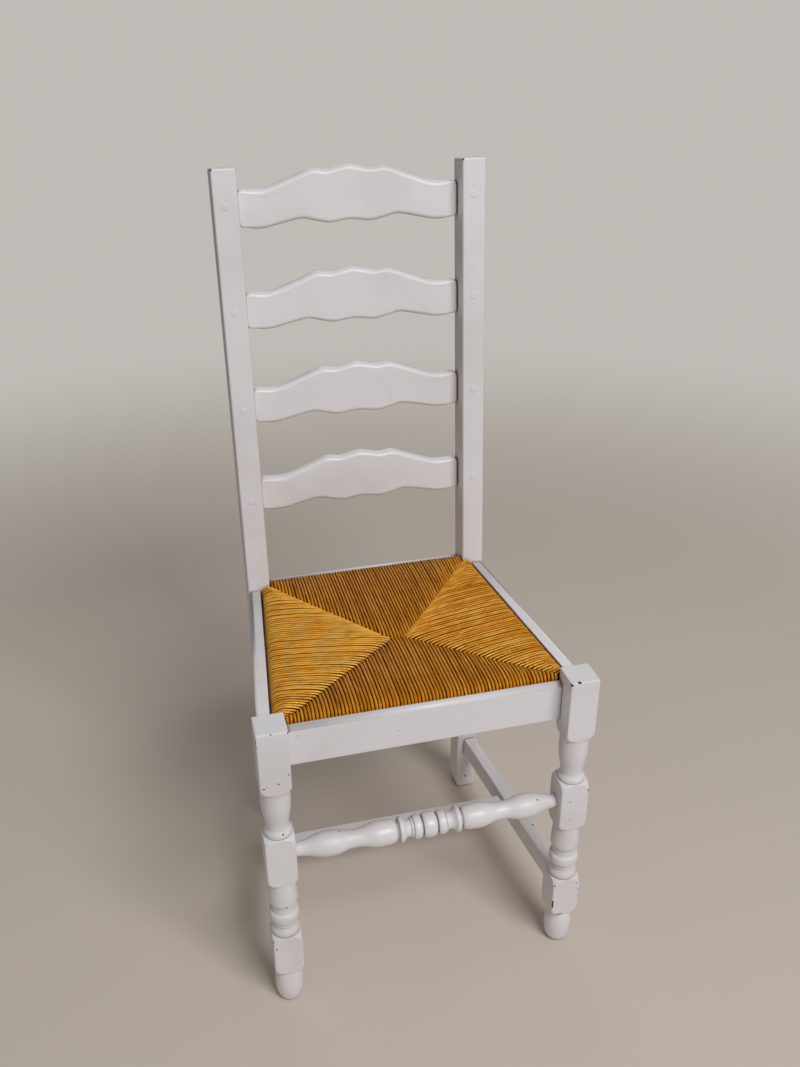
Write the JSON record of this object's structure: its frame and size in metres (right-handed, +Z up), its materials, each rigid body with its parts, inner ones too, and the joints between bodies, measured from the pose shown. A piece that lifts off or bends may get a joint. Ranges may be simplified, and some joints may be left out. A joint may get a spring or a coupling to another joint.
{
  "type": "ladder-back chair",
  "caption": "Painted ladder-back dining chair with turned front legs, shaped back slats, an H-shaped stretcher and a drop-in woven rush seat; paint chipped along its edges.",
  "frame": {"origin": "centre of the bounding box's bottom face, on the floor between the feet", "axes": "+Z up, the chair's front towards -Y, +X to the right as seen from the front"},
  "size_m": [0.432, 0.4386, 1.0315],
  "materials": {
    "painted_wood": "off-white satin paint, chipped at edges",
    "bare_wood": "plain sawn wood",
    "woven_rush": "twisted rush cords, golden, slightly glossy"
  },
  "bodies": {
    "root": {"front_leg_left": "painted_wood", "front_leg_right": "painted_wood", "rear_post_left": "painted_wood", "rear_post_right": "painted_wood", "front_seat_rail": "painted_wood", "rear_seat_rail": "painted_wood", "side_seat_rail_left": "painted_wood", "side_seat_rail_right": "painted_wood", "back_slat_1": "painted_wood", "back_slat_2": "painted_wood", "back_slat_3": "painted_wood", "back_slat_4": "painted_wood", "slat_peg_left_1": "painted_wood", "slat_peg_left_2": "painted_wood", "slat_peg_left_3": "painted_wood", "slat_peg_left_4": "painted_wood", "slat_peg_right_1": "painted_wood", "slat_peg_right_2": "painted_wood", "slat_peg_right_3": "painted_wood", "slat_peg_right_4": "painted_wood", "front_stretcher": "painted_wood", "side_stretcher_left": "painted_wood", "side_stretcher_right": "painted_wood", "cross_stretcher": "painted_wood", "seat_frame_front": "bare_wood", "seat_frame_rear": "bare_wood", "seat_frame_left": "bare_wood", "seat_frame_right": "bare_wood", "rush_seat": "woven_rush"}
  },
  "joints": []
}
